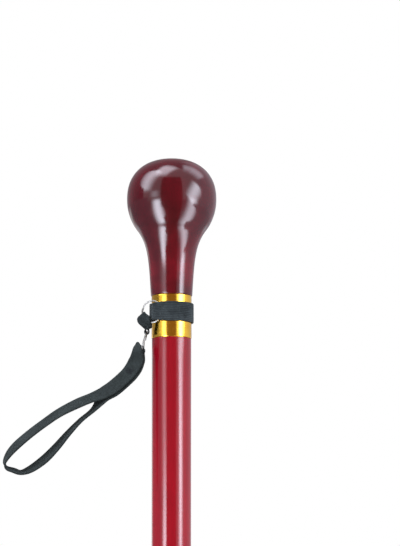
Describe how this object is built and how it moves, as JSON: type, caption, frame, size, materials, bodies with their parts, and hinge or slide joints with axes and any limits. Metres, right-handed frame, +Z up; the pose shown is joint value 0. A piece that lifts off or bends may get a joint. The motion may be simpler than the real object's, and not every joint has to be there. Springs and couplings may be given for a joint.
{
  "type": "walking cane",
  "caption": "Straight cane with a turned knob handle, gilt collar, tapered lacquered stick, rubber ferrule and a webbing wrist strap hung by split rings from an elastic band.",
  "frame": {"origin": "centre of the rubber foot's sole, on the floor", "axes": "+Z up the stick to the knob, -X to the side where the strap hangs, -Y to the viewer"},
  "size_m": [0.1137, 0.048, 0.914],
  "materials": {
    "stick_lacquer": "clear red gloss lacquer",
    "knob_lacquer": "dark red gloss lacquer",
    "gilt": "polished, gilt",
    "screw_steel": "zinc plated",
    "washer_steel": "zinc plated",
    "rubber": "matt",
    "elastic": "ribbed woven elastic",
    "band_ring_wire": "nickel plated",
    "strap_ring_wire": "nickel plated",
    "tab_webbing": "woven",
    "strap_webbing": "woven"
  },
  "bodies": {
    "cane": {"shaft": "stick_lacquer", "knob_handle": "knob_lacquer", "collar": "gilt", "dowel_screw": "screw_steel", "ferrule": "rubber", "ferrule_washer": "washer_steel"},
    "elastic_band": {"elastic_band": "elastic"},
    "band_ring": {"band_ring": "band_ring_wire"},
    "link_tab": {"link_tab": "tab_webbing"},
    "strap_ring": {"strap_ring": "strap_ring_wire"},
    "wrist_strap": {"wrist_strap": "strap_webbing"}
  },
  "joints": [
    {"name": "band_turn", "type": "hinge", "parent": "cane", "child": "elastic_band", "pos_m": [0, 0, 0.83025], "axis": [0, 0, 1], "continuous": true},
    {"name": "ring_turn", "type": "hinge", "parent": "elastic_band", "child": "band_ring", "pos_m": [-0.01029, -0.00775, 0.83025], "axis": [-0.4384, -0.8988, 0], "range_deg": [-75, 5]},
    {"name": "tab_swing", "type": "hinge", "parent": "band_ring", "child": "link_tab", "pos_m": [-0.01404, -0.00592, 0.82675], "axis": [-0.5777, 0.2818, 0.766], "range_deg": [-15, 35]},
    {"name": "strap_ring_swing", "type": "hinge", "parent": "link_tab", "child": "strap_ring", "pos_m": [-0.01312, -0.00579, 0.81979], "axis": [0, 1, 0], "range_deg": [-15, 45]},
    {"name": "strap_swing", "type": "hinge", "parent": "strap_ring", "child": "wrist_strap", "pos_m": [-0.01587, -0.00479, 0.80914], "axis": [-0.0478, -0.9816, -0.1847], "range_deg": [-25, 40]}
  ]
}
